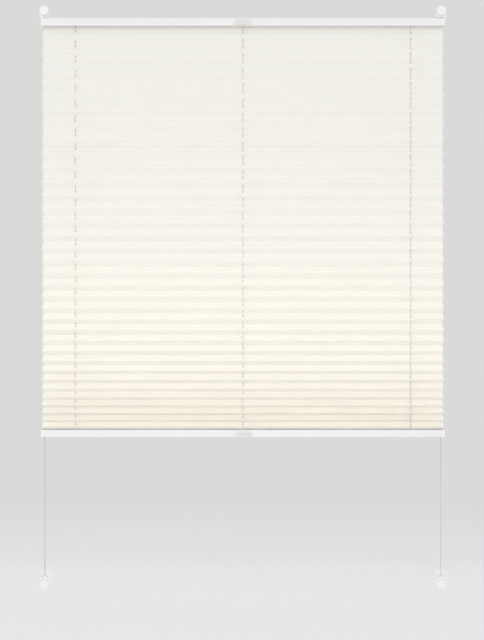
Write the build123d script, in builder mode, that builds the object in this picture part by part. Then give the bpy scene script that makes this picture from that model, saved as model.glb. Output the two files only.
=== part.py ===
"""A pleated blind that is clamped to a window sash: cloth, rails, taut cords and four clamps.

Lengths are in millimetres and angles in degrees. X runs along the rails, the room side faces -Y, +Z is up.
The origin is in the middle of the sash's top edge, on the plane of its front face.
Heights in a rail are measured from its mouth, which is the side that the cloth comes out of.
"""

from build123d import *
from math import sqrt
import os

# Overall sizes
blind_width = 800.0
sash_height = 1125.0
cloth_drop = 800.0
cord_plane = 15.0
cut_overrun = 5.0

# Rails: an H section with a cloth chamber on one side and a cord channel on the other
rail_height = 15.0
rail_depth = 20.0
rail_wall = 1.2
rail_corner = 1.5
rail_web = 1.2
rail_parking_gap = 0.8
cloth_lip = 1.2
cloth_slot = 7.0
cloth_chamber = 3.0
channel_lip = 1.2
channel_mouth = 15.0
insert_clearance = 0.15

# End caps
cap_flange = 5.0
cap_edge = 0.8
cap_insert = 18.0

# Cords and the guides that turn them
cord_radius = 0.5
cord_bend = 2.5
cord_room = 0.4
cord_lane = 2.0
cord_inset = 6.8
cord_hole_inset = 67.0
cord_height = 6.9
guide_floor = 0.5
guide_length = 16.0
spigot_radius = 2.4
spigot_clearance = 0.1

# Retaining strips that hold the cloth's ends
strip_thickness = 1.0
strip_width = 16.8
strip_end_gap = 1.0
strip_hole = 1.6

# Cloth: its folds close up towards the bottom, where they have lost gather_share of their height
cloth_end_gap = 1.5
cloth_thickness = 0.4
fold_width = 20.0
open_share = 0.58
gather_share = 0.58
gather_power = 1.65
end_share = 0.3
cloth_hole = 3.0

# Handles: a base plate with sloping ends and a half-moon tray at its lower edge
handle_width = 46.0
handle_height = 10.8
handle_slope = 48.0
handle_base = 1.2
handle_corner = 1.5
handle_crown = 5.0
handle_edge = 0.4
handle_drop = 0.5
tray_width = 34.0
tray_reach = 9.0
tray_rim = 3.5
tray_wall = 1.6
tray_round = 1.8
tray_edge = 0.5
peg_radius = 1.5
peg_clearance = 0.1
peg_grip = 1.0
peg_spacing = 28.0

# Clamps
clamp_width = 20.0
clamp_depth = 22.0
clamp_drop = 7.6
clamp_edge = 1.0
foot_drop = 19.5
foot_clearance = 1.0
foot_floor = 2.0
foot_rib = 2.5
foot_corner = 1.0
screw_rise = 5.5
front_wall = 3.8
throat = 17.0
throat_closing = 2.0
slide_clearance = 0.3
lug_width = 12.0
lug_depth = 8.0
lug_rise = 5.0
arm_thickness = 2.5
hook_lip_width = 18.0
hook_lip_thickness = 2.5
hook_lip_drop = 9.0
hook_lip_corner = 3.0

# Thumb screws
shank_radius = 2.0
shank_clearance = 0.05
shank_end_gap = 1.0
knob_radius = 10.0
knob_thickness = 10.5
knob_dome = 4.0
knob_gap = 0.2
flute_count = 12
flute_radius = 1.6
flute_depth = 0.5

# Tension shoes
shoe_width = 8.0
shoe_seat = 1.5
shoe_clearance = 0.1
saddle_gap = 0.5
shoe_room = 0.6
shoe_edge = 1.0
cord_slot = 1.6
cord_seat = 2.5

# Places worked out from the sizes above
top_mouth = -(clamp_drop + rail_parking_gap + rail_height)
bottom_mouth = top_mouth - cloth_drop
rail_front = -cord_plane - rail_depth / 2
profile_length = blind_width - 2 * cap_flange
profile_end = profile_length / 2
cloth_width = blind_width - 2 * cloth_end_gap
channel_width = rail_depth - 2 * rail_wall
web_bottom = cloth_lip + cloth_chamber
channel_floor = web_bottom + rail_web
groove_floor = channel_floor + guide_floor
insert_width = channel_width - 2 * insert_clearance
insert_height = rail_height - channel_lip - insert_clearance - channel_floor
cord_x = blind_width / 2 - cord_inset
cord_hole_x = blind_width / 2 - cord_hole_inset
cord_groove = 2 * (cord_lane + cord_radius + cord_room)
saddle_radius = cord_bend - cord_radius - cord_room
saddle_top = cord_height + cord_bend + saddle_radius
eyelet_radius = cord_radius + cord_room
pocket_depth = clamp_depth - front_wall
foot_thickness = cord_plane - rail_depth / 2 - foot_clearance
lug_front = throat_closing + slide_clearance - pocket_depth
shoe_entry = rail_height - saddle_top - saddle_gap
shoe_end = -(clamp_drop + rail_parking_gap + shoe_entry)
tongue_trim = cap_flange + strip_end_gap
across_cloth = Plane.XY.offset((top_mouth + bottom_mouth) / 2)
across_sash = Plane.XY.offset(-sash_height / 2)

# Each cord's rail end, the place where it goes down through the cloth, and its lane
routes = {
    "left": (-cord_x, cord_hole_x, -cord_lane),
    "right": (cord_x, -cord_hole_x, cord_lane),
    "middle": (-cord_x, 0, 0),
}
hole_places = [(hole, lane - cord_plane) for end, hole, lane in routes.values()]

os.makedirs("parts", exist_ok=True)


def write(piece, name):
    """Label a finished piece and write it to a file of its own."""
    piece.label = name
    export_step(piece, f"parts/{name}.step")


def flipped(piece, about):
    """The piece's mirror image in a plane."""
    with BuildPart() as image:
        add(piece)
        mirror(about=about, mode=Mode.REPLACE)
    return image.part


# Rail: one extruded section, drilled for the guides' spigots and the handle's pegs
handle_height_in_rail = top_mouth + rail_height / 2 - handle_drop
with BuildPart() as rail:
    with BuildSketch(Plane.YZ.offset(-profile_end)):
        with Locations((-cord_plane, top_mouth + rail_height / 2)):
            RectangleRounded(rail_depth, rail_height, rail_corner)
        with Locations((-cord_plane, top_mouth)):
            Rectangle(cloth_slot, 2 * web_bottom, mode=Mode.SUBTRACT)
        with Locations((-cord_plane, top_mouth + cloth_lip + cloth_chamber / 2)):
            Rectangle(channel_width, cloth_chamber, mode=Mode.SUBTRACT)
        with Locations((-cord_plane, top_mouth + (channel_floor + rail_height - channel_lip) / 2)):
            Rectangle(channel_width, rail_height - channel_lip - channel_floor, mode=Mode.SUBTRACT)
        with Locations((-cord_plane, top_mouth + rail_height)):
            Rectangle(channel_mouth, 4 * channel_lip, mode=Mode.SUBTRACT)
    extrude(amount=profile_length)
    with BuildSketch(Plane.XY.offset(top_mouth + web_bottom - rail_web)):
        with Locations(*hole_places):
            Circle(spigot_radius + spigot_clearance)
    extrude(amount=3 * rail_web, mode=Mode.SUBTRACT)
    with BuildSketch(Plane.XZ.offset(-rail_front - 2 * rail_wall)):
        with Locations((0, handle_height_in_rail)):
            with GridLocations(peg_spacing, 0, 2, 1):
                Circle(peg_radius + peg_clearance)
    extrude(amount=3 * rail_wall, mode=Mode.SUBTRACT)

# End cap: a flange over the section's end and a block in the cord channel, with a pocket for the shoe
with BuildPart() as cap:
    with BuildSketch(Plane.YZ.offset(profile_end)):
        with Locations((-cord_plane, top_mouth + rail_height / 2)):
            RectangleRounded(rail_depth, rail_height, rail_corner)
    extrude(amount=cap_flange)
    fillet(cap.faces().sort_by(Axis.X)[-1].edges(), cap_edge)
    with BuildSketch(Plane.YZ.offset(profile_end)):
        with Locations((-cord_plane, top_mouth + channel_floor + insert_height / 2)):
            Rectangle(insert_width, insert_height)
    extrude(amount=-cap_insert)
    with BuildSketch(Plane.XY.offset(top_mouth + rail_height)):
        with Locations((cord_x, -cord_plane)):
            Rectangle(shoe_width + 2 * shoe_room, shoe_width + 2 * shoe_room)
    extrude(amount=-shoe_entry - shoe_room, mode=Mode.SUBTRACT)
    with BuildSketch(Plane.YZ.offset(profile_end - cap_insert)):
        with Locations((-cord_plane, top_mouth + groove_floor)):
            Rectangle(cord_groove, insert_height, align=(Align.CENTER, Align.MIN))
    extrude(amount=cord_x + cord_slot - profile_end + cap_insert, mode=Mode.SUBTRACT)
    with BuildSketch(Plane.XZ.offset(cord_plane - cord_groove / 2)):
        with Locations((cord_x - cord_bend, top_mouth + cord_height + cord_bend)):
            Circle(saddle_radius)
    extrude(amount=cord_groove)

# Retaining strip: a flat strip in the cloth chamber, punched for the cords
with BuildPart() as strip:
    with BuildSketch(Plane.XY.offset(top_mouth + cloth_lip)):
        with Locations((0, -cord_plane)):
            Rectangle(profile_length - 2 * strip_end_gap, strip_width)
        with Locations(*hole_places):
            Circle(strip_hole, mode=Mode.SUBTRACT)
    extrude(amount=strip_thickness)


def cord_guide(x, y):
    """A block in the cord channel whose flared eyelet turns one cord down through the rail's web."""
    bend_height = top_mouth + cord_height - cord_bend
    with BuildPart() as guide:
        with BuildSketch(Plane.XY.offset(top_mouth + channel_floor)):
            with Locations((x, -cord_plane)):
                Rectangle(guide_length, insert_width)
        extrude(amount=insert_height)
        with BuildSketch(Plane.XY.offset(top_mouth + groove_floor)):
            with Locations((x, -cord_plane)):
                Rectangle(guide_length, cord_groove)
        extrude(amount=insert_height, mode=Mode.SUBTRACT)
        with BuildSketch(Plane.XY.offset(top_mouth + channel_floor)):
            with Locations((x, y)):
                Circle(spigot_radius)
        extrude(amount=-rail_web)
        with BuildSketch(Plane.XZ.offset(-y)):
            with BuildLine():
                flare = CenterArc((x + cord_bend, bend_height), saddle_radius, 180, -90)
                Polyline(
                    flare @ 0,
                    (x + eyelet_radius, top_mouth + cloth_lip),
                    (x, top_mouth + cloth_lip),
                    (x, bend_height + saddle_radius),
                    flare @ 1,
                )
            make_face()
        revolve(axis=Axis((x, y, 0), (0, 0, 1)), mode=Mode.SUBTRACT)
    return guide.part


def half_moon(height, half_width, tip):
    """A flat face at a height: from a line along the rail's front to an arc that stands out to the tip."""
    with BuildSketch(Plane.XY.offset(height)) as moon:
        with BuildLine():
            arc = ThreePointArc((half_width, rail_front), (0, tip), (-half_width, rail_front))
            Line(arc @ 1, arc @ 0)
        make_face()
    return moon.sketch


def handle(height):
    """A grip on the rail's front: a base plate with two pegs, and a half-moon tray with a raised rim."""
    low = height - handle_height / 2
    tip = rail_front - tray_reach
    with BuildPart() as base:
        with BuildSketch(Plane.XZ.offset(-rail_front)) as outline:
            with Locations((0, height)):
                Trapezoid(handle_width, handle_height, handle_slope)
            fillet(outline.vertices().group_by(Axis.Y)[0], handle_corner)
            fillet(outline.vertices().group_by(Axis.Y)[-1], handle_crown)
        extrude(amount=handle_base)
        fillet(base.faces().sort_by(Axis.Y)[0].edges(), handle_edge)
    with BuildPart() as grip:
        extrude(half_moon(low, tray_width / 2, tip), amount=tray_rim, dir=(0, 0, 1))
        fillet(grip.faces().sort_by(Axis.Z)[0].edges().filter_by(GeomType.CIRCLE), tray_round)
        hollow = half_moon(low + tray_wall, tray_width / 2 - tray_wall, tip + tray_wall)
        extrude(hollow, amount=tray_rim, dir=(0, 0, 1), mode=Mode.SUBTRACT)
        fillet(grip.faces().sort_by(Axis.Z)[-1].edges().filter_by(GeomType.CIRCLE), tray_edge)
        add(base.part)
        with BuildSketch(Plane.XZ.offset(-rail_front)):
            with Locations((0, height)):
                with GridLocations(peg_spacing, 0, 2, 1):
                    Circle(peg_radius)
        extrude(amount=-rail_wall - peg_grip)
    return grip.part


def gathered(place):
    """How much of its height a fold keeps, at a place that runs from 0 at the top to 1 at the bottom."""
    return 1 - gather_share * place**gather_power


def cloth_line():
    """The sheet's middle line in Y and Z: in at the top rail, down every fold, out at the bottom rail."""
    faces = 2 * round(cloth_drop / (2 * fold_width * open_share))
    ends = end_share * (gathered(0) + gathered(1))
    whole = sum(gathered((k + 0.5) / faces) for k in range(faces)) + ends
    unit = cloth_drop / whole
    line = [(-cord_plane, top_mouth + cloth_lip), (-cord_plane, top_mouth)]
    height = top_mouth - unit * gathered(0) * end_share
    for k in range(faces + 1):
        depth = sqrt(fold_width**2 - (unit * gathered(k / faces)) ** 2)
        line.append((-cord_plane + (-1) ** k * depth / 2, height))
        height -= unit * gathered((k + 0.5) / faces)
    line.append((-cord_plane, bottom_mouth))
    line.append((-cord_plane, bottom_mouth - cloth_lip))
    return [Vector(*point) for point in line]


def beside(line, distance):
    """The line moved sideways by a distance, with mitred corners."""
    ways = [(b - a).normalized() for a, b in zip(line, line[1:])]
    sides = [Vector(-way.Y, way.X) for way in ways]
    pairs = zip([sides[0], *sides], [*sides, sides[-1]])
    return [p + (a + b) * (distance / (1 + a.dot(b))) for p, (a, b) in zip(line, pairs)]


# Cloth: one pleated sheet, punched for the cords, with its ends trimmed to pass between the caps
middle_line = cloth_line()
with BuildPart() as cloth:
    with BuildSketch(Plane.YZ.offset(-cloth_width / 2)):
        with BuildLine():
            front = beside(middle_line, -cloth_thickness / 2)
            back = beside(middle_line, cloth_thickness / 2)
            Polyline(*front, *reversed(back), close=True)
        make_face()
    extrude(amount=cloth_width)
    with BuildSketch(Plane.XY.offset(top_mouth + web_bottom)):
        with Locations(*hole_places):
            Rectangle(cloth_hole, cloth_hole)
    extrude(amount=-cloth_drop - 2 * web_bottom, mode=Mode.SUBTRACT)
    with BuildSketch(Plane.XZ.offset(cord_plane)):
        with Locations((0, (top_mouth + bottom_mouth) / 2)):
            with GridLocations(
                blind_width - tongue_trim, cloth_drop + 2 * (web_bottom - insert_clearance), 2, 2
            ):
                Rectangle(tongue_trim, 2 * web_bottom)
    extrude(amount=rail_depth / 2, both=True, mode=Mode.SUBTRACT)


def cord(end, hole, lane):
    """One taut cord: shoe, top rail, down through the cloth, bottom rail and the shoe below."""
    y = lane - cord_plane
    top_run = top_mouth + cord_height
    bottom_run = bottom_mouth - cord_height
    seat = shoe_seat + cord_seat
    route = [
        (end, y, -seat),
        (end, y, top_run),
        (hole, y, top_run),
        (hole, y, bottom_run),
        (end, y, bottom_run),
        (end, y, seat - sash_height),
    ]
    with BuildPart() as tube:
        with BuildLine():
            FilletPolyline(*route, radius=cord_bend)
        with BuildSketch(Plane(origin=route[0], z_dir=(0, 0, -1))):
            Circle(cord_radius)
        sweep()
    return tube.part


# Clamp body: a block with a round head on a ribbed foot, with a pocket for the lug and a shoe socket
with BuildPart() as clamp_body:
    with BuildSketch(Plane.XZ):
        with Locations((cord_x, screw_rise)):
            Circle(clamp_width / 2)
            Rectangle(clamp_width, screw_rise + clamp_drop, align=(Align.CENTER, Align.MAX))
    extrude(amount=clamp_depth)
    fillet(clamp_body.faces().sort_by(Axis.Y)[0].edges(), clamp_edge)
    with BuildSketch(Plane.XZ):
        with Locations((cord_x, -clamp_drop)):
            Rectangle(clamp_width, foot_drop - clamp_drop, align=(Align.CENTER, Align.MAX))
    extrude(amount=foot_thickness)
    fillet(clamp_body.edges().filter_by(Axis.Y).group_by(Axis.Z)[0], foot_corner)
    with BuildSketch(Plane.XZ.offset(foot_floor)):
        with Locations((cord_x, -clamp_drop)):
            Rectangle(
                clamp_width - 2 * foot_rib, foot_drop - clamp_drop, align=(Align.CENTER, Align.MAX)
            )
    extrude(amount=foot_thickness - foot_floor, mode=Mode.SUBTRACT)
    with BuildSketch(Plane.XZ):
        with Locations((cord_x, 0)):
            Rectangle(
                lug_width + 2 * slide_clearance,
                screw_rise + lug_rise + slide_clearance,
                align=(Align.CENTER, Align.MIN),
            )
    extrude(amount=pocket_depth, mode=Mode.SUBTRACT)
    with BuildSketch(Plane.XZ):
        with Locations((cord_x, screw_rise)):
            Circle(shank_radius + shank_clearance)
    extrude(amount=clamp_depth + cut_overrun, mode=Mode.SUBTRACT)
    with BuildSketch(Plane.XY.offset(-clamp_drop)):
        with Locations((cord_x, -cord_plane)):
            Rectangle(shoe_width + 2 * shoe_clearance, shoe_width + 2 * shoe_clearance)
    extrude(amount=clamp_drop - shoe_seat, mode=Mode.SUBTRACT)

# Clamp hook: a lug on the screw, an arm over the sash's edge and a broad lip behind it
arm_top = slide_clearance + arm_thickness
with BuildPart() as clamp_hook:
    with BuildSketch(Plane.YZ.offset(cord_x - lug_width / 2)):
        with BuildLine():
            Polyline(
                (lug_front, slide_clearance),
                (lug_front, screw_rise + lug_rise),
                (lug_front + lug_depth, screw_rise + lug_rise),
                (lug_front + lug_depth, arm_top),
                (throat + hook_lip_thickness, arm_top),
                (throat + hook_lip_thickness, slide_clearance),
                close=True,
            )
        make_face()
    extrude(amount=lug_width)
    with BuildSketch(Plane.XZ.offset(-throat)):
        with Locations((cord_x, arm_top)):
            Rectangle(hook_lip_width, arm_top + hook_lip_drop, align=(Align.CENTER, Align.MAX))
    extrude(amount=-hook_lip_thickness)
    fillet(
        clamp_hook.edges().filter_by(Axis.Y).group_by(Axis.Z)[0],
        hook_lip_corner,
    )
    with BuildSketch(Plane.XZ.offset(-lug_front)):
        with Locations((cord_x, screw_rise)):
            Circle(shank_radius + shank_clearance)
    extrude(amount=-lug_depth, mode=Mode.SUBTRACT)

# Thumb screw: a fluted, domed knob in front of the clamp body and a plain shank through the lug
with BuildPart() as thumb_screw:
    with BuildSketch(Plane.XZ.offset(clamp_depth + knob_gap)):
        with Locations((cord_x, screw_rise)):
            Circle(knob_radius)
    extrude(amount=knob_thickness)
    fillet(thumb_screw.faces().sort_by(Axis.Y)[0].edges(), knob_dome)
    with BuildSketch(Plane.XZ.offset(clamp_depth + knob_gap)):
        with Locations((cord_x, screw_rise)):
            with PolarLocations(knob_radius + flute_radius - flute_depth, flute_count):
                Circle(flute_radius)
    extrude(amount=knob_thickness, mode=Mode.SUBTRACT)
    with BuildSketch(Plane.XZ.offset(clamp_depth + knob_gap)):
        with Locations((cord_x, screw_rise)):
            Circle(shank_radius)
    extrude(amount=shank_end_gap - clamp_depth - knob_gap)

# Tension shoe: a plug in the clamp body with a blind slot that the cords' ends are held in
with BuildPart() as tension_shoe:
    with BuildSketch(Plane.XY.offset(shoe_end)):
        with Locations((cord_x, -cord_plane)):
            RectangleRounded(shoe_width, shoe_width, shoe_edge)
    extrude(amount=-shoe_seat - shoe_end)
    chamfer(tension_shoe.faces().sort_by(Axis.Z)[0].edges(), shoe_edge / 2)
    with BuildSketch(Plane.XY.offset(shoe_end)):
        with Locations((cord_x, -cord_plane)):
            Rectangle(cord_slot, cord_groove)
    extrude(amount=-shoe_seat - cord_seat - shoe_end, mode=Mode.SUBTRACT)

# The rails and what they carry: the bottom rail's pieces are the top rail's, upside down
guides = {}
for side, (end, hole, lane) in zip(("right", "left", "middle"), routes.values()):
    guides[f"{side}_guide"] = cord_guide(hole, lane - cord_plane)
rail_pieces = {
    "rail": rail.part,
    "strip": strip.part,
    "right_end_cap": cap.part,
    "left_end_cap": flipped(cap.part, Plane.YZ),
    **guides,
}
for name, piece in rail_pieces.items():
    write(piece, f"top_{name}")
    write(flipped(piece, across_cloth), f"bottom_{name}")
write(handle(handle_height_in_rail), "top_handle")
write(handle(bottom_mouth - rail_height / 2 + handle_drop), "bottom_handle")
write(cloth.part, "pleated_cloth")
for name, route in routes.items():
    write(cord(*route), f"{name}_cord")

# The four clamps: one set of pieces, turned to each corner of the sash
clamp_pieces = {
    "clamp_body": clamp_body.part,
    "clamp_hook": clamp_hook.part,
    "thumb_screw": thumb_screw.part,
    "tension_shoe": tension_shoe.part,
}
for name, piece in clamp_pieces.items():
    left_piece = flipped(piece, Plane.YZ)
    write(piece, f"top_right_{name}")
    write(left_piece, f"top_left_{name}")
    write(flipped(piece, across_sash), f"bottom_right_{name}")
    write(flipped(left_piece, across_sash), f"bottom_left_{name}")
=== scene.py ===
"""The looks of a pleated blind that is held by four screw clamps.

Shapes are worked out in millimetres, in the part's own frame: X along the rails, the room side
at -Y, +Z up, the origin midway between the two top clamps, where they seat. They go into meshes in metres.
"""

import bpy
import numpy as np
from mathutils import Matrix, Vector


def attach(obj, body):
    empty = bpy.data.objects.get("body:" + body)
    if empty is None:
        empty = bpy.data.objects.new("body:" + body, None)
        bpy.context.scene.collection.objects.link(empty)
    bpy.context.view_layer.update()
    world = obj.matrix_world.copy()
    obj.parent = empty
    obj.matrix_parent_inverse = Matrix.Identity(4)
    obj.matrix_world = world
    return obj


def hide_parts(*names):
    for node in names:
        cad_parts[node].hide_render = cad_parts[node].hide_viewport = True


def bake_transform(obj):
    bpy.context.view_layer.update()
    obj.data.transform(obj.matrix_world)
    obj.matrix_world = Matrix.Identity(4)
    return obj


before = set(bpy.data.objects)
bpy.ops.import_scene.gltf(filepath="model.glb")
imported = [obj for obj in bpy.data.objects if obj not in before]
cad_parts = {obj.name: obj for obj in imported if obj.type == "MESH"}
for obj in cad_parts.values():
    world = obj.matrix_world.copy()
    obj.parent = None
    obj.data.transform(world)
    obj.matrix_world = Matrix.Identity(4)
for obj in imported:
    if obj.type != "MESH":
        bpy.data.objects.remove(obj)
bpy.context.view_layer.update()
scene = bpy.context.scene
MM = 0.001

# Sizes that the part's solids have too
clamp_span = 1125.0
cord_plane = 15.0
top_mouth = -23.4
bottom_mouth = -823.4
cord_x = 393.2
cord_height = 6.9
cord_radius = 0.5
cord_seat = 4.0
screw_rise = 5.5

# The pleated sheet
cloth_width = 797.0
cloth_drop = top_mouth - bottom_mouth
cloth_thickness = 0.4
cloth_tongue = 1.2
tongue_end = 394.0
fold_width = 20.0
face_count = 68
gather_share = 0.58
gather_power = 1.65
end_share = 0.3
front_droop = 4.3
lowest_gap = 1.3
crease_radius = 0.45
crease_bulk = 1.6
crease_reach = 1.5
fold_waver = 0.22
hole_radius = 1.7
hole_places = {-333.0: -13.0, 0.0: -15.0, 333.0: -17.0}
split_fold = 16
packed_face = 0.5
open_face = 20.4
lift = 530.0
lowering = 278.0

# Corners of the sheet's line that lie in each rail
rail_corners = 2

# The sheet's grid: rows beside the creases, and columns beside the rings round the cords
crease_rows = np.array([7.6, 9.4])
ring_steps = np.array([-2.0, -1.0, -0.5, 0.0, 0.5, 1.0, 2.0])
ring_reach = 8.0
ring_drop = 9.0
column_count = 37
column_gap = 12.0
tiny = 1e-9

# The waver of the fold lines: three waves along X, and the share that each has
waver_seed = 11
waver_lengths = np.array([[410.0], [190.0], [83.0]])
waver_shares = np.array([[0.5], [0.3], [0.2]])

# The cords: the rail end, the hole in the cloth and the lane of each
cord_routes = {
    "left_cord": (-cord_x, 333.0, -17.0),
    "right_cord": (cord_x, -333.0, -13.0),
    "middle_cord": (-cord_x, 0.0, -15.0),
}
bend_reach = 5.0
cord_sides = 12

# The thumb screws
knob_radius = 10.0
knob_front = -32.7
knob_back = -22.2
knob_dome = 4.0
shank_radius = 2.0
shank_end = -1.0
flute_count = 12
flute_depth = 0.7
flute_start = 6.8
flute_sharpness = 1.5
flute_steps = 12

# The knob's profile: radius and depth down its hollow front, the gaps at the ends of its straight side, and
# inset and rise at its back rim and its neck
knob_hollow = ((1.2, 0.45), (2.6, 0.4), (3.4, 0.2), (4.2, 0.02))
knob_side = (0.6, 0.9)
knob_rim = ((0.2, 0.25), (0.8, 0.0))
knob_neck = (0.4, 0.3)
shank_chamfer = 0.5


def linear(hex_colour):
    """An sRGB hex colour as linear red, green and blue, with full alpha."""
    level = np.array([int(hex_colour[k : k + 2], 16) for k in (1, 3, 5)]) / 255
    light = np.where(level <= 0.04045, level / 12.92, ((level + 0.055) / 1.055) ** 2.4)
    return (*light.tolist(), 1.0)


def add(tree, kind, inputs=None, **settings):
    """Add a node with its settings, and give its inputs values or links from other nodes' outputs."""
    made = tree.nodes.new(kind)
    for name, value in settings.items():
        setattr(made, name, value)
    for name, value in (inputs or {}).items():
        if isinstance(value, bpy.types.NodeSocket):
            tree.links.new(value, made.inputs[name])
        else:
            made.inputs[name].default_value = value
    return made


def new_finish(name):
    """A material with an empty node tree."""
    material = bpy.data.materials.new(name)
    material.use_nodes = True
    material.node_tree.nodes.clear()
    return material, material.node_tree


def pleated_polyester():
    """Woven polyester, pleated under heat: matt cream with a soft sheen, uneven weft threads, and pressed
    creases that are a little lighter. The threads are 0.35 mm apart, and are drawn 0.9 mm apart to show."""
    material, tree = new_finish("pleated_woven_polyester")
    thread = 0.9 * MM
    # A wave texture of scale 1 has a band every 0.314159
    band = 0.314159
    sheet = add(tree, "ShaderNodeUVMap", uv_map="sheet").outputs["UV"]
    threads = {"Vector": sheet, "Scale": band / thread}
    warp = add(tree, "ShaderNodeTexWave", threads, bands_direction="X")
    weft = add(tree, "ShaderNodeTexWave", threads, bands_direction="Y")
    weave = add(
        tree, "ShaderNodeMath", {0: warp.outputs["Fac"], 1: weft.outputs["Fac"]}, operation="MULTIPLY"
    )
    along = add(tree, "ShaderNodeMapping", {"Vector": sheet, "Scale": (28.0, 900.0, 1.0)})
    slub = add(
        tree, "ShaderNodeTexNoise", {"Vector": along.outputs["Vector"], "Scale": 1.0, "Detail": 3.0}
    )
    cloud = add(tree, "ShaderNodeTexNoise", {"Vector": sheet, "Scale": 9.0, "Detail": 2.0})
    parts = add(tree, "ShaderNodeSeparateXYZ", {"Vector": sheet})
    nearest = add(
        tree, "ShaderNodeMath", {0: parts.outputs["Y"], 1: fold_width / 2 * MM}, operation="PINGPONG"
    )
    crease = add(
        tree,
        "ShaderNodeMapRange",
        {"Value": nearest.outputs[0], "From Min": 0.0, "From Max": 1.1 * MM, "To Min": 1.0, "To Max": 0.0},
    )
    uneven = add(
        tree,
        "ShaderNodeMix",
        {0: slub.outputs[0], 6: linear("#FAF2E0"), 7: linear("#FEF8E9")},
        data_type="RGBA",
    )
    clouded = add(
        tree,
        "ShaderNodeMix",
        {0: cloud.outputs[0], 6: uneven.outputs[2], 7: linear("#FDF6E6")},
        data_type="RGBA",
    )
    pressed = add(tree, "ShaderNodeMath", {0: crease.outputs[0], 1: 0.35}, operation="MULTIPLY")
    colour = add(
        tree,
        "ShaderNodeMix",
        {0: pressed.outputs[0], 6: clouded.outputs[2], 7: linear("#FEF9EF")},
        data_type="RGBA",
    )
    height = add(tree, "ShaderNodeMath", {0: slub.outputs[0], 1: weave.outputs[0]}, operation="ADD")
    bump = add(
        tree, "ShaderNodeBump", {"Height": height.outputs[0], "Strength": 0.12, "Distance": 0.15 * MM}
    )
    shine = add(tree, "ShaderNodeMapRange", {"Value": crease.outputs[0], "To Min": 0.86, "To Max": 0.7})
    shader = add(
        tree,
        "ShaderNodeBsdfPrincipled",
        {
            "Base Color": colour.outputs[2],
            "Roughness": shine.outputs[0],
            "Normal": bump.outputs["Normal"],
            "IOR": 1.5,
            "Specular IOR Level": 0.3,
            "Sheen Weight": 0.12,
            "Sheen Roughness": 0.5,
            "Subsurface Weight": 1.0,
            "Subsurface Radius": (1.0, 1.0, 1.0),
            "Subsurface Scale": 3.4 * MM,
        },
    )
    add(tree, "ShaderNodeOutputMaterial", {"Surface": shader.outputs[0]})
    return material


def braided_polyester():
    """Braided polyester cord, 1 mm thick: matt light grey-white, with eight strands that cross every 2 mm,
    and painted shade that darkens the gaps between them."""
    material, tree = new_finish("braided_polyester_cord")
    strands = 8
    lay = 2.0 * MM
    place = add(tree, "ShaderNodeUVMap", uv_map="sheet").outputs["UV"]
    parts = add(tree, "ShaderNodeSeparateXYZ", {"Vector": place})
    around = add(tree, "ShaderNodeMath", {0: parts.outputs["X"], 1: strands * np.pi}, operation="MULTIPLY")
    along = add(tree, "ShaderNodeMath", {0: parts.outputs["Y"], 1: np.pi / lay}, operation="MULTIPLY")
    crossed = []
    for way in ("ADD", "SUBTRACT"):
        lead = add(tree, "ShaderNodeMath", {0: around.outputs[0], 1: along.outputs[0]}, operation=way)
        wave = add(tree, "ShaderNodeMath", {0: lead.outputs[0]}, operation="SINE")
        crossed.append(add(tree, "ShaderNodeMath", {0: wave.outputs[0]}, operation="ABSOLUTE").outputs[0])
    braid_and_gap_shade = add(tree, "ShaderNodeMath", {0: crossed[0], 1: crossed[1]}, operation="MAXIMUM")
    # Painted shade: the colour goes darker where the strands part, in the gaps between them, over the cord's
    # own light grey-white
    colour = add(
        tree,
        "ShaderNodeMix",
        {0: braid_and_gap_shade.outputs[0], 6: linear("#A19C91"), 7: linear("#D3CEC3")},
        data_type="RGBA",
    )
    bump = add(tree, "ShaderNodeBump", {"Height": braid_and_gap_shade.outputs[0], "Strength": 0.5, "Distance": 0.08 * MM})
    shader = add(
        tree,
        "ShaderNodeBsdfPrincipled",
        {
            "Base Color": colour.outputs[2],
            "Normal": bump.outputs["Normal"],
            "Roughness": 0.75,
            "Sheen Weight": 0.1,
        },
    )
    add(tree, "ShaderNodeOutputMaterial", {"Surface": shader.outputs[0]})
    return material


def powder_coat():
    """Aluminium under white powder coat: cool white, satin, with a fine orange peel 1.6 mm across and
    faint cloudiness along the length."""
    material, tree = new_finish("powder_coated_aluminium")
    place = add(tree, "ShaderNodeTexCoord").outputs["Object"]
    peel = add(tree, "ShaderNodeTexNoise", {"Vector": place, "Scale": 1 / (1.6 * MM), "Detail": 2.0})
    stretched = add(tree, "ShaderNodeMapping", {"Vector": place, "Scale": (6.0, 60.0, 60.0)})
    cloud = add(
        tree, "ShaderNodeTexNoise", {"Vector": stretched.outputs["Vector"], "Scale": 1.0, "Detail": 3.0}
    )
    colour = add(
        tree,
        "ShaderNodeMix",
        {0: cloud.outputs[0], 6: linear("#EEEDF1"), 7: linear("#F6F6F8")},
        data_type="RGBA",
    )
    gloss = add(tree, "ShaderNodeMapRange", {"Value": peel.outputs[0], "To Min": 0.3, "To Max": 0.46})
    bump = add(tree, "ShaderNodeBump", {"Height": peel.outputs[0], "Strength": 0.1, "Distance": 0.05 * MM})
    shader = add(
        tree,
        "ShaderNodeBsdfPrincipled",
        {
            "Base Color": colour.outputs[2],
            "Roughness": gloss.outputs[0],
            "Normal": bump.outputs["Normal"],
            "IOR": 1.5,
        },
    )
    add(tree, "ShaderNodeOutputMaterial", {"Surface": shader.outputs[0]})
    return material


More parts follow.
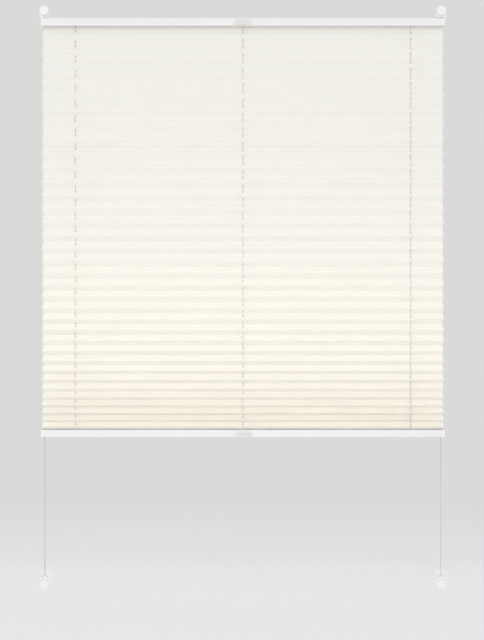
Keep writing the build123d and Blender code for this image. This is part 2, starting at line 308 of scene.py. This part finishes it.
def plastic(name, dark, light, rough, smooth, grit, depth, ior=1.53, milky=0.0):
    """Moulded plastic: its colour drifts between two tones with the flow, 12 mm across, and its gloss and
    bump come from the mould's texture, whose grit is given in millimetres. Milky is the share of light
    that wanders about 1.5 mm inside it before it comes out."""
    material, tree = new_finish(name)
    place = add(tree, "ShaderNodeTexCoord").outputs["Object"]
    flow = add(
        tree,
        "ShaderNodeTexNoise",
        {"Vector": place, "Scale": 1 / (12 * MM), "Detail": 2.0, "Distortion": 0.6},
    )
    mould = add(tree, "ShaderNodeTexNoise", {"Vector": place, "Scale": 1 / (grit * MM), "Detail": 1.0})
    colour = add(
        tree,
        "ShaderNodeMix",
        {0: flow.outputs[0], 6: linear(dark), 7: linear(light)},
        data_type="RGBA",
    )
    gloss = add(tree, "ShaderNodeMapRange", {"Value": mould.outputs[0], "To Min": smooth, "To Max": rough})
    bump = add(tree, "ShaderNodeBump", {"Height": mould.outputs[0], "Strength": depth, "Distance": 0.05 * MM})
    shader = add(
        tree,
        "ShaderNodeBsdfPrincipled",
        {
            "Base Color": colour.outputs[2],
            "Roughness": gloss.outputs[0],
            "Normal": bump.outputs["Normal"],
            "IOR": ior,
            "Subsurface Weight": milky,
            "Subsurface Radius": (1.0, 1.0, 1.0),
            "Subsurface Scale": 1.5 * MM,
        },
    )
    add(tree, "ShaderNodeOutputMaterial", {"Surface": shader.outputs[0]})
    return material


def cells(grid):
    """The four corners of each cell of a grid, in order round the cell."""
    corners = [grid[:-1, :-1], grid[1:, :-1], grid[1:, 1:], grid[:-1, 1:]]
    return np.stack(corners, axis=2).reshape(-1, 4, *grid.shape[2:])


def make(name, points, faces, material, uv=None):
    """A smooth mesh object from points in millimetres and faces of corner indices, with a UV for each
    corner."""
    mesh = bpy.data.meshes.new(name)
    mesh.from_pydata((points * MM).tolist(), [], faces)
    if uv is not None:
        mesh.uv_layers.new(name="sheet").uv.foreach_set("vector", uv.astype(np.float32).ravel())
    mesh.shade_smooth()
    mesh.materials.append(material)
    made = bpy.data.objects.new(name, mesh)
    scene.collection.objects.link(made)
    return made


def both_sides(quads, count):
    """The cells of a thick sheet: the front as given, the back turned over, and a rim round every free edge.
    A free edge is one that no other cell runs along the other way. The back's points follow the front's."""
    edges = np.concatenate([quads[:, [k, (k + 1) % 4]] for k in range(4)])
    free = edges[~np.isin(edges @ [count, 1], edges @ [1, count])]
    rim = np.column_stack([free[:, ::-1], free + count])
    return np.concatenate([quads, quads[:, ::-1] + count, rim]), len(rim)


def fold_line():
    """Y and Z of the sheet's corners: a straight tongue in each rail, and the fold lines between the mouths.

    A face keeps a share of its height, one minus a power of its place down the sheet, and all faces are one
    width, so a fold stands out from the cord plane by half the root of width squared less height squared. The
    cords carry the sheet's middle, so the front folds droop where it is gathered, by the cube of their place,
    and the lowest one lies on the rail."""
    place = np.arange(face_count + 1) / face_count
    middle = place[:-1] + 0.5 / face_count
    at_fold = 1 - gather_share * place**gather_power
    at_face = 1 - gather_share * middle**gather_power
    unit = cloth_drop / (at_face.sum() + end_share * (at_fold[0] + at_fold[-1]))
    z = top_mouth - unit * (end_share * at_fold[0] + np.concatenate([[0], np.cumsum(at_face)]))
    z[1::2] -= front_droop * place[1::2] ** 3
    z[-2] = bottom_mouth + lowest_gap
    half_depth = np.sqrt(fold_width**2 - (unit * at_fold) ** 2) / 2
    y = -cord_plane + half_depth * (-1.0) ** np.arange(face_count + 1)
    ends = [top_mouth + cloth_tongue, top_mouth], [bottom_mouth, bottom_mouth - cloth_tongue]
    in_rail = [-cord_plane] * rail_corners
    return np.concatenate([in_rail, y, in_rail]), np.concatenate([ends[0], z, ends[1]])


def pleated_sheet(material):
    """The sheet as two pieces that meet in a valley fold.

    A point is given by its place along X and by a face and a share of that face. Y and Z run straight from
    corner to corner, less a hyperbola at each fold that rounds its crease, and each fold line wavers by a sum
    of sines along X. Round each cord the grid is drawn into rings, from square to round, and the innermost
    ring is left open as the punched hole. The cloth is one thickness, with a bulk at each front crease that
    falls off in a straight line. Gives back the height at which the pieces meet."""
    fold_y, fold_z = fold_line()
    segments = len(fold_y) - 1
    ring = ring_steps * hole_radius
    row_places = np.concatenate([[-fold_width / 2], -crease_rows[::-1], ring, crease_rows])
    share = np.append(np.tile(0.5 + row_places / fold_width, segments), 0.0)
    face = np.append(np.repeat(np.arange(segments), len(row_places)), segments)
    near = np.concatenate([[-ring_reach], ring, [ring_reach]])
    near = np.concatenate([hole + near for hole in hole_places])
    wide = np.linspace(-cloth_width / 2, cloth_width / 2, column_count)
    apart = np.abs(wide[:, None] - np.array(list(hole_places))).min(1)
    x = np.sort(np.concatenate([near, wide[apart > column_gap], [-tongue_end, tongue_end]]))

    # Draw the grid round the cords into rings, and shift the rings to where each cord crosses the face
    next_face = np.minimum(face + 1, segments)
    whole_face = (face >= rail_corners) & (face < segments - rail_corners)
    step_y = np.where(whole_face, fold_y[next_face] - fold_y[face], 1.0)
    px, share = (a.copy() for a in np.broadcast_arrays(x[None, :], share[:, None]))
    open_cell = np.zeros((len(face) - 1, len(x) - 1), bool)
    row_middle = (share[1:, :1] + share[:-1, :1]) / 2
    row_middle[share[1:, :1] == 0] = 1.0
    row_face = face[:-1, None]
    first_share = share[:, :1].copy()
    cell_middle = (x[1:] + x[:-1])[None, :] / 2
    for hole, lane in hole_places.items():
        across = x[None, :] - hole
        down = (first_share - 0.5) * fold_width
        square = np.maximum(np.abs(across), np.abs(down))
        fade = np.clip(2 - square / hole_radius, 0, 1)
        draw = fade * (square / np.maximum(np.hypot(across, down), tiny) - 1)
        shift = ((lane - fold_y[face]) / step_y - 0.5)[:, None]
        hold = np.clip((ring_reach - np.abs(across)) / (ring_reach - 2 * hole_radius), 0, 1)
        hold = hold * np.clip((ring_drop - np.abs(down)) / (ring_drop - 2 * hole_radius), 0, 1)
        px += np.where(whole_face[:, None], across * draw, 0)
        share += np.where(whole_face[:, None], down / fold_width * draw + shift * hold, 0)
        inside = np.abs(cell_middle - hole) < hole_radius
        in_face = np.abs(row_middle - 0.5) * fold_width < hole_radius
        top_slot = (row_face == 0) | (row_face == 1) & (row_middle < 0.5)
        low_slot = (row_face == segments - 1) | (row_face == segments - 2) & (row_middle > 0.5)
        open_cell |= inside & np.where(whole_face[:-1, None], in_face, top_slot | low_slot)
    trimmed = np.abs(cell_middle) > tongue_end
    open_cell |= trimmed & ((row_face == 0) | (row_face == segments - 1))

    # Straight faces, rounded creases and wavering fold lines
    def between(corner_values):
        """A value at every point, drawn straight from corner to corner."""
        return corner_values[face] * (1 - share) + corner_values[next_face] * share

    chance = np.random.default_rng(waver_seed)
    turns = chance.uniform(0, 2 * np.pi, (2, segments + 1, len(waver_lengths), 1))
    waver = (np.sin(2 * np.pi * x / waver_lengths + turns) * waver_shares).sum(2) * fold_waver
    waver[:, : rail_corners + 1] = 0
    waver[:, -rail_corners - 1 :] = 0
    from_fold = np.minimum(share, 1 - share) * fold_width
    at_fold = np.where(share < 0.5, face[:, None], next_face[:, None])
    is_fold = (at_fold >= rail_corners) & (at_fold <= segments - rail_corners)
    slope = (fold_y + cord_plane) * 2 / fold_width
    rounding = slope[at_fold] * (np.hypot(from_fold, crease_radius) - from_fold) * is_fold
    py = between(fold_y[:, None]) - rounding + between(waver[0])
    pz = between(fold_z[:, None]) + between(waver[1])

    # Weights of how far each fold would go with its rail, which nothing here applies: a face packs no closer
    # than its cloth, and opens hardly further than flat
    heights = np.maximum(-np.diff(fold_z), 0)
    heights[[0, -1]] = 0
    fold_row = rail_corners + split_fold
    is_upper = np.arange(segments) < fold_row
    gives = np.where(is_upper, heights, 0)
    takes = np.minimum((heights - packed_face) / lift, (open_face - heights) / lowering)
    takes = np.where(~is_upper & (heights > 0), takes, 0)
    upper_weight = np.append(0, np.cumsum(gives) / gives.sum())
    lower_weight = np.append(0, np.cumsum(takes) / takes.sum())

    index = np.arange(px.size).reshape(px.shape)
    points = np.stack([px, py, pz], axis=-1).reshape(-1, 3)
    down_sheet = (face[:, None] - rail_corners + share) * fold_width
    sheet = np.stack([px, down_sheet], axis=-1).reshape(-1, 2) * MM
    corners = cells(index)
    whole = corners[~open_cell.ravel()]
    diagonals = points[whole[:, 2]] - points[whole[:, 0]], points[whole[:, 3]] - points[whole[:, 1]]
    normal = np.zeros_like(points)
    for k in range(4):
        np.add.at(normal, whole[:, k], np.cross(*diagonals))
    normal /= np.maximum(np.linalg.norm(normal, axis=1, keepdims=True), tiny)
    front = is_fold & (fold_y[at_fold] < -cord_plane)
    bulk = 1 + crease_bulk * front * np.clip(1 - from_fold / crease_reach, 0, 1)
    half_thick = normal * bulk.reshape(-1, 1) * cloth_thickness / 2
    cell_upper = np.repeat(face[:-1] < fold_row, len(x) - 1)
    spans = {
        "upper": (cell_upper, is_upper, ("top_rail", "clamps"), upper_weight, "top_rail"),
        "lower": (~cell_upper, ~is_upper, ("clamps", "bottom_rail"), lower_weight, "bottom_rail"),
    }
    for end, (here, faces_here, bodies, weight, rail) in spans.items():
        used, quads = np.unique(corners[here & ~open_cell.ravel()], return_inverse=True)
        quads, rim_count = both_sides(quads.reshape(-1, 4), len(used))
        shell = np.concatenate([points[used] + half_thick[used], points[used] - half_thick[used]])
        uv = sheet[used][quads.ravel() % len(used)]
        piece = make(f"pleated_cloth_{end}", shell, quads.tolist(), material, uv)
        smooth = np.arange(len(quads)) < len(quads) - rim_count
        piece.data.polygons.foreach_set("use_smooth", smooth)
        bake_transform(piece)
        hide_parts("pleated_cloth")
    return fold_z[fold_row]


def smooth_path(route):
    """Points along a quadratic NURBS line whose control points are the route's."""
    curve = bpy.data.curves.new("route", "CURVE")
    curve.dimensions = "3D"
    spline = curve.splines.new("NURBS")
    spline.points.add(len(route) - 1)
    spline.points.foreach_set("co", np.column_stack([route, np.ones(len(route))]).ravel())
    spline.order_u = 3
    spline.use_endpoint_u = True
    spline.resolution_u = 8
    holder = bpy.data.objects.new("route", curve)
    line = bpy.data.meshes.new_from_object(holder)
    points = np.empty(len(line.vertices) * 3)
    line.vertices.foreach_get("co", points)
    bpy.data.objects.remove(holder)
    bpy.data.curves.remove(curve)
    bpy.data.meshes.remove(line)
    return points.reshape(-1, 3)


def cord_length(name, path, node, material):
    """A round tube: rings square to a path that keeps to one plane of Y, closed at both ends."""
    way = np.gradient(path, axis=0)
    way /= np.linalg.norm(way, axis=1, keepdims=True)
    side = np.cross(way, (0.0, 1.0, 0.0))
    turn = np.linspace(0, 2 * np.pi, cord_sides, endpoint=False)[None, :, None]
    ring = np.cos(turn) * side[:, None, :] + np.sin(turn) * np.array([0.0, 1.0, 0.0])
    points = path[:, None, :] + cord_radius * ring
    index = np.arange(len(path) * cord_sides).reshape(len(path), cord_sides)
    walls = cells(np.column_stack([index, index[:, 0]]))
    run = np.append(0, np.cumsum(np.linalg.norm(np.diff(path, axis=0), axis=1)))
    around = np.linspace(0, 1, cord_sides + 1)
    place = np.stack(np.broadcast_arrays(around[None, :], run[:, None] * MM), axis=-1)
    ends = [index[0].tolist(), index[-1, ::-1].tolist()]
    uv = np.concatenate([cells(place).reshape(-1, 2), place[0, :-1], place[-1, :-1]])
    piece = make(name, points.reshape(-1, 3), walls.tolist() + ends, material, uv)
    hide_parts(node)
    return piece


def taut_cord(name, end, hole, lane, split_level, material):
    """One taut cord in six lengths: a length in each rail that rides on it, and four upright lengths."""
    inward = np.sign(hole - end)
    top_run = top_mouth + cord_height
    bottom_run = bottom_mouth - cord_height
    for rail, run, up in (("top", top_run, 1), ("bottom", bottom_run, -1)):
        route = [
            (end, lane, run + bend_reach * up),
            (end, lane, run),
            (end + bend_reach * inward, lane, run),
            (hole - bend_reach * inward, lane, run),
            (hole, lane, run),
            (hole, lane, run - bend_reach * up),
        ]
        piece = cord_length(f"{name}_in_{rail}_rail", smooth_path(route), name, material)
        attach(piece, f"{rail}_rail")
    uprights = {
        "top_end": (end, -cord_seat, top_run + bend_reach, "clamps", "top_rail"),
        "upper": (hole, top_run - bend_reach, split_level, "top_rail", "clamps"),
        "lower": (hole, split_level, bottom_run + bend_reach, "clamps", "bottom_rail"),
        "bottom_end": (end, bottom_run - bend_reach, cord_seat - clamp_span, "bottom_rail", "clamps"),
    }
    for part, (x, high, low, first, second) in uprights.items():
        path = np.array([(x, lane, high), (x, lane, low)])
        piece = cord_length(f"{name}_{part}", path, name, material)
        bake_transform(piece)


def thumb_screw(corner, x, z, material):
    """A knob and its shank as one surface of revolution: a profile of radius against depth, turned about the
    screw's axis, whose radius dips by a raised cosine at each flute."""
    bend = np.linspace(0, np.pi / 2, 9)
    dome_r = knob_radius - knob_dome + knob_dome * np.sin(bend)
    dome_y = knob_front + knob_dome - knob_dome * np.cos(bend)
    side_front = knob_front + knob_dome + knob_side[0]
    profile = np.concatenate(
        [
            [(radius, knob_front + depth) for radius, depth in knob_hollow],
            np.column_stack([dome_r, dome_y]),
            [(knob_radius, y) for y in np.linspace(side_front, knob_back - knob_side[1], 5)],
            [(knob_radius - inset, knob_back - rise) for inset, rise in knob_rim],
            [(shank_radius + knob_neck[0], knob_back), (shank_radius, knob_back + knob_neck[1])],
            [(shank_radius, shank_end - shank_chamfer), (shank_radius - shank_chamfer, shank_end)],
        ]
    )
    turn = np.linspace(0, 2 * np.pi, flute_steps * flute_count, endpoint=False)
    worn = np.clip((profile[:, 0] - flute_start) / (knob_radius - flute_start), 0, 1) ** 2
    dip = (0.5 + 0.5 * np.cos(flute_count * turn)) ** flute_sharpness
    radius = profile[:, :1] - flute_depth * worn[:, None] * dip[None, :]
    depth = np.broadcast_to(profile[:, 1:], radius.shape)
    points = np.stack([x + radius * np.cos(turn), depth, z + radius * np.sin(turn)], axis=-1)
    points = points.reshape(-1, 3)
    index = np.arange(radius.size).reshape(radius.shape)
    index = np.column_stack([index, index[:, 0]])
    poles = np.array([(x, profile[0, 1], z), (x, shank_end, z)])
    front = np.column_stack([np.full(len(turn), len(points)), index[0, :-1], index[0, 1:]])
    back = np.column_stack([np.full(len(turn), len(points) + 1), index[-1, 1:], index[-1, :-1]])
    faces = cells(index).tolist() + front.tolist() + back.tolist()
    piece = make(f"{corner}_knob", np.concatenate([points, poles]), faces, material)
    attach(piece, f"{corner}_screw")
    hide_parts(f"{corner}_thumb_screw")


# Finishes of the solids that keep their own meshes
coat = powder_coat()
# ABS from a finely eroded mould: clean white, satin, with a faint grain
abs_white = plastic("moulded_abs", "#F3F3F3", "#FAFAF9", 0.5, 0.36, 0.7, 0.12)
# Frosted polycarbonate: cool grey-white and smooth, with some light wandering inside it
frosted = plastic("frosted_polycarbonate", "#E6E6E8", "#F0F0F0", 0.34, 0.22, 0.9, 0.08, 1.585, 0.3)
# Milk-white polycarbonate: white with a soft gloss, and its edges take up the light from behind
milk_white = plastic(
    "milk_white_polycarbonate", "#F4F4F4", "#FBFBFA", 0.62, 0.48, 0.9, 0.08, 1.585, 0.3
)
# Moulded acetal: ivory white, smooth and a little waxy
acetal = plastic("moulded_acetal", "#EFEEE8", "#F7F6F2", 0.4, 0.25, 1.0, 0.05, 1.48)
# Extruded PVC: dull off-white, nearly matt
strip_pvc = plastic("extruded_pvc", "#E6E5E0", "#EEEDE9", 0.6, 0.45, 0.8, 0.08)
finish_of = {
    "rail": coat,
    "end_cap": abs_white,
    "handle": frosted,
    "strip": strip_pvc,
    "guide": acetal,
    "clamp_body": milk_white,
    "clamp_hook": milk_white,
    "tension_shoe": acetal,
}
for name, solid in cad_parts.items():
    for kind, finish in finish_of.items():
        if name.endswith(kind):
            solid.data.materials.clear()
            solid.data.materials.append(finish)

# The cloth, the cords and the knobs
split_level = pleated_sheet(pleated_polyester())
cord_finish = braided_polyester()
for name, (end, hole, lane) in cord_routes.items():
    taut_cord(name, end, hole, lane, split_level, cord_finish)
for side, x in (("left", -cord_x), ("right", cord_x)):
    thumb_screw(f"top_{side}", x, screw_rise, abs_white)
    thumb_screw(f"bottom_{side}", x, -clamp_span - screw_rise, abs_white)


# Studio: a pale floor that runs out into the background, soft lamps and the camera
backdrop = "#DADAD9"
world_light = 0.82
floor_level = -1.2
floor_reach = 6.0
floor_fades_from = 1.35
floor_fades_to = 2.4
world = bpy.data.worlds.new("studio")
world.use_nodes = True
scene.world = world
tree = world.node_tree
tree.nodes.clear()
path = add(tree, "ShaderNodeLightPath")
mirrored = add(
    tree,
    "ShaderNodeMath",
    {0: path.outputs["Is Camera Ray"], 1: path.outputs["Is Glossy Ray"]},
    operation="MAXIMUM",
)
seen = add(
    tree,
    "ShaderNodeMath",
    {0: mirrored.outputs[0], 1: path.outputs["Is Transmission Ray"]},
    operation="MAXIMUM",
)
lit = add(tree, "ShaderNodeBackground", {"Color": linear("#FFFFFF"), "Strength": world_light})
shown = add(tree, "ShaderNodeBackground", {"Color": linear(backdrop), "Strength": 1.0})
both = add(tree, "ShaderNodeMixShader", {0: seen.outputs[0], 1: lit.outputs[0], 2: shown.outputs[0]})
add(tree, "ShaderNodeOutputWorld", {"Surface": both.outputs[0]})

floor_finish, tree = new_finish("pale_floor")
place = add(tree, "ShaderNodeTexCoord").outputs["Object"]
away = add(tree, "ShaderNodeVectorMath", {0: place}, operation="LENGTH")
far = add(
    tree,
    "ShaderNodeMapRange",
    {"Value": away.outputs["Value"], "From Min": floor_fades_from, "From Max": floor_fades_to},
    interpolation_type="SMOOTHSTEP",
)
path = add(tree, "ShaderNodeLightPath")
fading = add(
    tree, "ShaderNodeMath", {0: far.outputs[0], 1: path.outputs["Is Camera Ray"]}, operation="MULTIPLY"
)
paint = add(tree, "ShaderNodeBsdfDiffuse", {"Color": linear("#F3F4F5")})
glow = add(tree, "ShaderNodeEmission", {"Color": linear(backdrop), "Strength": 1.0})
mixed = add(tree, "ShaderNodeMixShader", {0: fading.outputs[0], 1: paint.outputs[0], 2: glow.outputs[0]})
add(tree, "ShaderNodeOutputMaterial", {"Surface": mixed.outputs[0]})
floor_mesh = bpy.data.meshes.new("floor")
floor_corners = [(-1, -1), (1, -1), (1, 1), (-1, 1)]
floor_points = [(x * floor_reach, y * floor_reach, floor_level) for x, y in floor_corners]
floor_mesh.from_pydata(floor_points, [], [(0, 1, 2, 3)])
floor_mesh.materials.append(floor_finish)
floor = bpy.data.objects.new("floor", floor_mesh)
scene.collection.objects.link(floor)

# Each lamp's place, size, watts, spread in degrees, and the height on the blind's middle that it is aimed at
lamps = {
    "key": ((-0.5, -2.6, 0.35), (1.6, 1.6), 7.0, 180, -0.05),
    "fill": ((0.0, -1.7, -0.93), (1.0, 0.54), 1.25, 110, -0.35),
    "behind": ((0.0, 0.8, -1.0), (1.7, 0.36), 1.35, 75, -0.85),
}
for name, (where, size, power, spread, height) in lamps.items():
    lamp = bpy.data.lights.new(name, "AREA")
    lamp.shape = "RECTANGLE"
    lamp.size, lamp.size_y = size
    lamp.energy = power
    lamp.spread = np.radians(spread)
    holder = bpy.data.objects.new(name, lamp)
    holder.location = where
    holder.rotation_euler = (Vector((0, 0, height)) - Vector(where)).to_track_quat("-Z", "Y").to_euler()
    holder.visible_camera = False
    scene.collection.objects.link(holder)

# The camera looks straight at the blind; a row of the picture covers row_height at the rails' front
rail_front = -25.0 * MM
camera_distance = 3.0
camera_x = -1.8 * MM
camera_z = -606.4 * MM
picture_rows = 640
row_height = 1.9796 * MM
picture_height = picture_rows * row_height
camera = bpy.data.cameras.new("camera")
camera.sensor_width = 36.0
camera.lens = camera.sensor_width * camera_distance / picture_height
eye = bpy.data.objects.new("camera", camera)
eye.location = (camera_x, rail_front - camera_distance, camera_z)
eye.rotation_euler = (np.pi / 2, 0, 0)
scene.collection.objects.link(eye)
scene.camera = eye
scene.view_settings.view_transform = "Standard"
